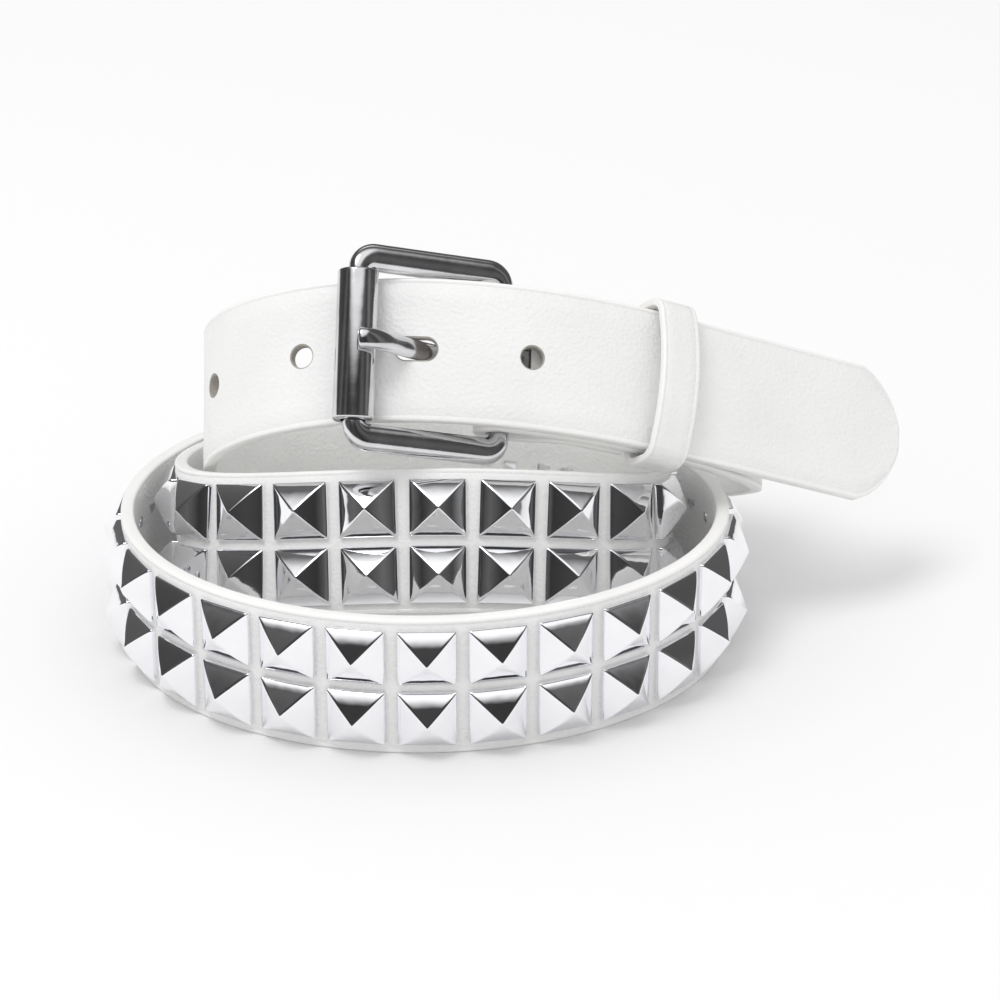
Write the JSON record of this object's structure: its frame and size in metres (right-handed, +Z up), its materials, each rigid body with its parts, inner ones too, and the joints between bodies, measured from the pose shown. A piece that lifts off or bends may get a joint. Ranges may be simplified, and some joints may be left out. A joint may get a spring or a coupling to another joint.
{
  "type": "studded belt",
  "caption": "White leather belt with two rows of pyramid studs and a roller buckle, fastened and lying in a three-turn coil.",
  "frame": {"origin": "on the floor under the middle of the bounding box of the coiled belt", "axes": "+Z up, -Y towards the front of the coil where the buckle is, +X towards the side that the tip points to"},
  "size_m": [0.1832, 0.1336, 0.0938],
  "materials": {
    "white_leather": "satin",
    "stud_chrome": "polished",
    "buckle_chrome": "polished"
  },
  "bodies": {
    "root": {"studded_strap": "white_leather", "keeper_loop": "white_leather", "buckle_frame": "buckle_chrome", "buckle_roller": "buckle_chrome", "buckle_prong": "buckle_chrome", "fold_rivet": "buckle_chrome"}
  },
  "joints": []
}
